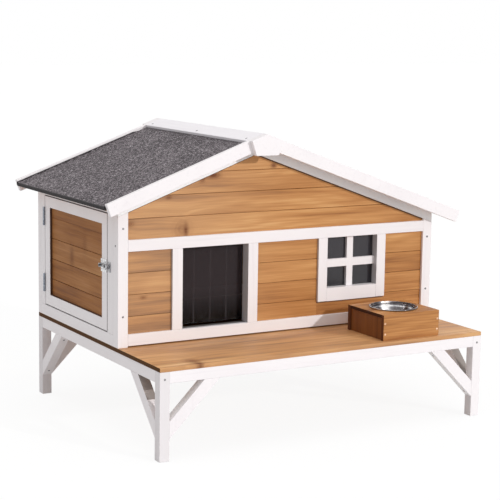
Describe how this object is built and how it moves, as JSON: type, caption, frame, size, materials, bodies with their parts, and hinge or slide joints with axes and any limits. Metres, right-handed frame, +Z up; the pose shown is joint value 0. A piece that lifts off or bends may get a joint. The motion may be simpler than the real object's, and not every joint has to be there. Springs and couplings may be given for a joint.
{
  "type": "cat house",
  "caption": "Raised wooden cat house with an off-centre gable roof, strip-curtain doorway, cross-bar window, hinged side door, and an open porch with a food box and bowl.",
  "frame": {"origin": "middle of the bounding box's ground plan, on the ground under the feet", "axes": "+X to the right as seen from the porch, +Y from the porch to the rear wall, +Z up"},
  "size_m": [1.2324, 0.9358, 0.8717],
  "materials": {
    "white_paint": "smooth satin water-based paint",
    "stained_wood": "light brown oil stain on fir",
    "felt": "bitumen felt with slate granules",
    "zinc": "zinc-plated",
    "polished_steel": "polished stainless",
    "clear_film": "clear flexible film",
    "clear_sheet": "clear acrylic"
  },
  "bodies": {
    "house": {"deck_panel": "stained_wood", "aprons_long": "white_paint", "aprons_side": "white_paint", "legs_front": "white_paint", "legs_rear": "white_paint", "braces_front": "white_paint", "braces_rear": "white_paint", "braces_side": "white_paint", "post_front_left": "white_paint", "post_front_right": "white_paint", "posts_rear": "white_paint", "front_bottom_rail": "white_paint", "front_beam": "white_paint", "doorway_stiles": "white_paint", "window_stiles": "white_paint", "window_sill": "white_paint", "window_bars": "white_paint", "window_pane": "clear_sheet", "boards_front_left": "stained_wood", "boards_front_middle": "stained_wood", "boards_under_window": "stained_wood", "boards_front_right": "stained_wood", "boards_gable_front": "stained_wood", "rakes_front": "white_paint", "side_rails": "white_paint", "side_stiles": "white_paint", "boards_right": "stained_wood", "rear_rails": "white_paint", "boards_rear": "stained_wood", "boards_gable_rear": "stained_wood", "rakes_rear": "white_paint", "roof_panel_left": "stained_wood", "roof_panel_right": "stained_wood", "felt_left": "felt", "felt_right": "felt", "barge_front_left": "white_paint", "barge_front_right": "white_paint", "barges_rear": "white_paint", "ridge_caps": "white_paint", "ridge_gussets": "white_paint", "strip_header": "white_paint", "hinge_wall_leaves": "zinc", "latch_keeper": "zinc", "screws": "zinc"},
    "side_door": {"side_door_frame": "white_paint", "side_door_boards": "stained_wood", "hinge_door_leaves": "zinc", "latch_plate": "zinc"},
    "bolt": {"latch_bolt": "zinc"},
    "strip_1": {"strip_1": "clear_film"},
    "strip_2": {"strip_2": "clear_film"},
    "strip_3": {"strip_3": "clear_film"},
    "strip_4": {"strip_4": "clear_film"},
    "food_box": {"food_box_ends": "stained_wood", "food_box_sides": "stained_wood", "food_box_top": "stained_wood", "box_screws": "zinc"},
    "bowl": {"bowl": "polished_steel"}
  },
  "joints": [
    {"name": "side_door_swing", "type": "hinge", "parent": "house", "child": "side_door", "pos_m": [-0.561, 0.3464, 0.473], "axis": [0, 0, -1], "range_deg": [0, 110]},
    {"name": "bolt_slide", "type": "slide", "parent": "side_door", "child": "bolt", "axis": [0, -1, 0], "range_m": [0, 0.018]},
    {"name": "strip_1_swing", "type": "hinge", "parent": "house", "child": "strip_1", "pos_m": [-0.3227, -0.1611, 0.5406], "axis": [1, 0, 0], "range_deg": [-70, 70]},
    {"name": "strip_2_swing", "type": "hinge", "parent": "house", "child": "strip_2", "pos_m": [-0.2679, -0.1611, 0.5406], "axis": [1, 0, 0], "range_deg": [-70, 70]},
    {"name": "strip_3_swing", "type": "hinge", "parent": "house", "child": "strip_3", "pos_m": [-0.2131, -0.1611, 0.5406], "axis": [1, 0, 0], "range_deg": [-70, 70]},
    {"name": "strip_4_swing", "type": "hinge", "parent": "house", "child": "strip_4", "pos_m": [-0.1583, -0.1611, 0.5406], "axis": [1, 0, 0], "range_deg": [-70, 70]},
    {"name": "food_box_lift", "type": "slide", "parent": "house", "child": "food_box", "axis": [0, 0, 1], "range_m": [0, 0.15]},
    {"name": "bowl_lift", "type": "slide", "parent": "food_box", "child": "bowl", "axis": [0, 0, 1], "range_m": [0, 0.1]}
  ]
}
